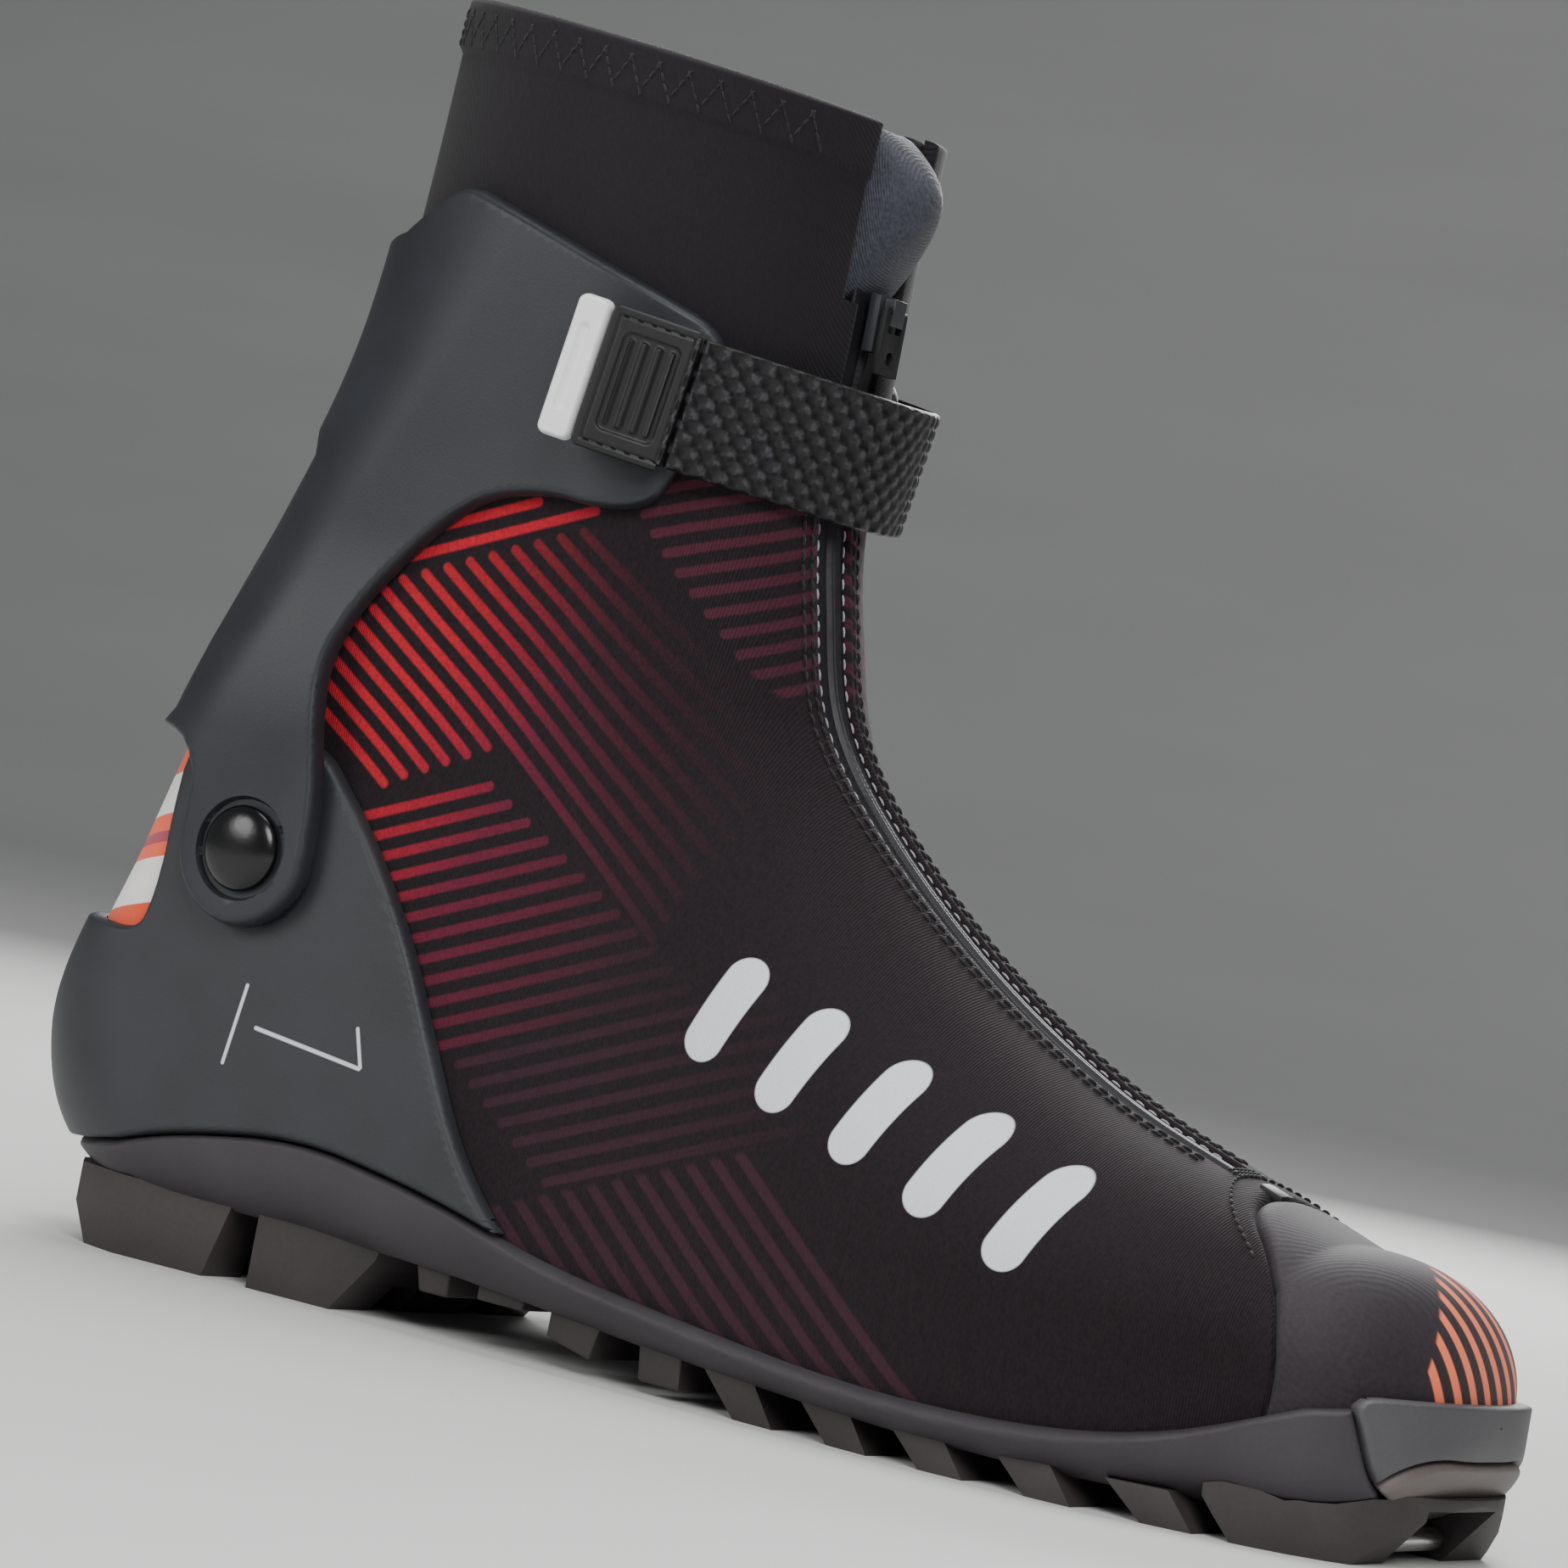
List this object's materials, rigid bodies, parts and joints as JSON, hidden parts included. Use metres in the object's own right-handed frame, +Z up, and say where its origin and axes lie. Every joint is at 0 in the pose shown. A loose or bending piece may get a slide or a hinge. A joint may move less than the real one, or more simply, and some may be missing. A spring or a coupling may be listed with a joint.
{
  "type": "cross country ski boot",
  "caption": "Right skate-style ski boot: printed fabric upper, rigid heel counter, hinged ankle cuff with a strap, covered zip, and a sole with a toe bar.",
  "frame": {"origin": "on the ground under the middle of the boot's length, in the plane of the toe bar's middle", "axes": "+X towards the toe, +Y towards the inner side of the foot, +Z up"},
  "size_m": [0.2817, 0.0985, 0.231],
  "materials": {
    "tpu_taupe": "matt thermoplastic rubber of the treads",
    "tpu_charcoal": "matt thermoplastic rubber of the side band and the toe",
    "shell_grey": "soft-touch moulded nylon of the cuff and the counter",
    "black_plastic": "glossy black acetal",
    "white_plastic": "unfilled acetal washer",
    "white_rubber": "white moulded rubber",
    "black_rubber": "black moulded rubber",
    "steel": "polished stainless steel",
    "zinc": "dark plated zinc casting",
    "knit": "printed stretch softshell, near-black with red stripes",
    "orange_knit": "orange striped stretch fabric",
    "twill": "fine twill with printed orange arcs",
    "black_softshell": "plain black softshell",
    "pad_fabric": "padded woven fabric",
    "lining": "brushed lining on foam",
    "webbing": "coarse polyester webbing",
    "tape": "smooth zip tape",
    "cord": "thin braided lace",
    "board": "needled fibre board",
    "foam_red": "moulded foam insole with a cloth top"
  },
  "bodies": {
    "boot": {"sole_plate": "tpu_charcoal", "sole_rand": "tpu_charcoal", "heel_tread": "tpu_taupe", "arch_ribs": "tpu_taupe", "forefoot_tread": "tpu_taupe", "toe_block": "tpu_taupe", "toe_bumper": "tpu_charcoal", "toe_bar": "steel", "shank": "black_plastic", "heel_counter": "shell_grey", "pivot_rivets": "black_plastic", "pivot_washers": "white_plastic", "vamp": "knit", "heel_panel": "orange_knit", "toe_panel": "twill", "toe_puff": "board", "lasting_board": "board", "foot_liner": "lining", "insole": "foam_red", "tongue": "lining", "lace": "cord", "lace_loops": "webbing", "zip_tape_lower": "tape", "zip_teeth_lower": "zinc", "zip_end_stop": "zinc", "ankle_gusset": "knit"},
    "cuff": {"cuff": "shell_grey", "collar_sleeve": "black_softshell", "collar_hem": "black_softshell", "collar_foam": "lining", "tongue_pad": "pad_fabric", "zip_tape_upper": "tape", "zip_teeth_upper": "zinc", "hook_pad": "tape", "strap_anchor": "webbing", "strap_anchor_plate": "black_plastic", "strap_rivet": "black_plastic"},
    "zip_slider": {"zip_slider": "zinc"},
    "zip_puller": {"zip_puller": "black_rubber"},
    "strap": {"strap_webbing": "webbing"},
    "strap_tail": {"strap_tail": "webbing", "tail_grip_patch": "black_rubber", "tail_tip": "white_rubber", "tail_hook_pad": "tape"}
  },
  "joints": [
    {"name": "cuff_flex", "type": "hinge", "parent": "boot", "child": "cuff", "pos_m": [-0.0917, 0, 0.075], "axis": [0, 1, 0], "range_deg": [-5, 18], "stiffness_Nm_per_rad": 10, "deforming": ["ankle_gusset"]},
    {"name": "zip_slide", "type": "slide", "parent": "cuff", "child": "zip_slider", "axis": [0, 0, -1], "range_m": [0, 0.032]},
    {"name": "puller_swing", "type": "hinge", "parent": "zip_slider", "child": "zip_puller", "pos_m": [-0.0062, 0, 0.1874], "axis": [0, -1, 0], "range_deg": [0, 130]},
    {"name": "strap_swing", "type": "hinge", "parent": "cuff", "child": "strap", "pos_m": [-0.04586, 0.0448, 0.1655], "axis": [0.1564, 0, 0.9877], "range_deg": [0, 70]},
    {"name": "tab_peel", "type": "hinge", "parent": "strap", "child": "strap_tail", "pos_m": [-0.02157, -0.0379, 0.1655], "axis": [0.1564, 0, 0.9877], "range_deg": [0, 120]}
  ]
}
